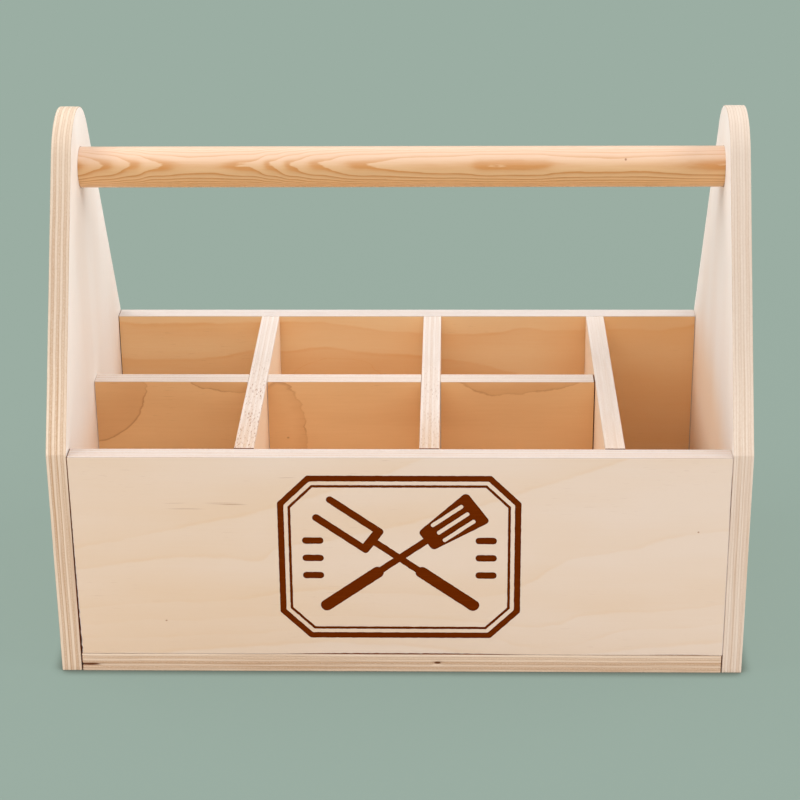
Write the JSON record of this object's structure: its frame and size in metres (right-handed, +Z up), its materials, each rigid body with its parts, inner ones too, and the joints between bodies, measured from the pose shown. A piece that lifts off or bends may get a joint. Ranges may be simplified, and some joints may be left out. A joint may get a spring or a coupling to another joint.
{
  "type": "carrying caddy",
  "caption": "Plywood carrying caddy with gable sides, a round wooden handle, and cross-lapped dividers that make open cells for bottles and barbecue tools.",
  "frame": {"origin": "on the table, under the middle of the bottom panel", "axes": "+Z up, -Y towards the front panel, +X to the right of someone who faces the front, where the narrow slot is"},
  "size_m": [0.35, 0.2, 0.271],
  "materials": {
    "birch_plywood": "bare sanded birch plywood with striped ply edges",
    "pine_dowel": "bare sanded pine with brown growth rings",
    "zinc_steel": "zinc-plated steel"
  },
  "bodies": {
    "root": {"back_panel": "birch_plywood", "bottom_back_nail_1": "zinc_steel", "bottom_back_nail_2": "zinc_steel", "bottom_back_nail_3": "zinc_steel", "bottom_back_nail_4": "zinc_steel", "bottom_front_nail_1": "zinc_steel", "bottom_front_nail_2": "zinc_steel", "bottom_front_nail_3": "zinc_steel", "bottom_front_nail_4": "zinc_steel", "bottom_panel": "birch_plywood", "cross_divider_left": "birch_plywood", "cross_divider_left_nail_1": "zinc_steel", "cross_divider_left_nail_2": "zinc_steel", "cross_divider_middle": "birch_plywood", "cross_divider_middle_nail_1": "zinc_steel", "cross_divider_middle_nail_2": "zinc_steel", "cross_divider_right": "birch_plywood", "cross_divider_right_nail_1": "zinc_steel", "cross_divider_right_nail_2": "zinc_steel", "front_panel": "birch_plywood", "handle_dowel": "pine_dowel", "handle_screw_left": "zinc_steel", "handle_screw_right": "zinc_steel", "left_back_nail_1": "zinc_steel", "left_back_nail_2": "zinc_steel", "left_back_nail_3": "zinc_steel", "left_bottom_nail_1": "zinc_steel", "left_bottom_nail_2": "zinc_steel", "left_bottom_nail_3": "zinc_steel", "left_front_nail_1": "zinc_steel", "left_front_nail_2": "zinc_steel", "left_front_nail_3": "zinc_steel", "left_side_panel": "birch_plywood", "long_divider": "birch_plywood", "long_divider_nail_1": "zinc_steel", "long_divider_nail_2": "zinc_steel", "right_back_nail_1": "zinc_steel", "right_back_nail_2": "zinc_steel", "right_back_nail_3": "zinc_steel", "right_bottom_nail_1": "zinc_steel", "right_bottom_nail_2": "zinc_steel", "right_bottom_nail_3": "zinc_steel", "right_front_nail_1": "zinc_steel", "right_front_nail_2": "zinc_steel", "right_front_nail_3": "zinc_steel", "right_side_panel": "birch_plywood"}
  },
  "joints": []
}
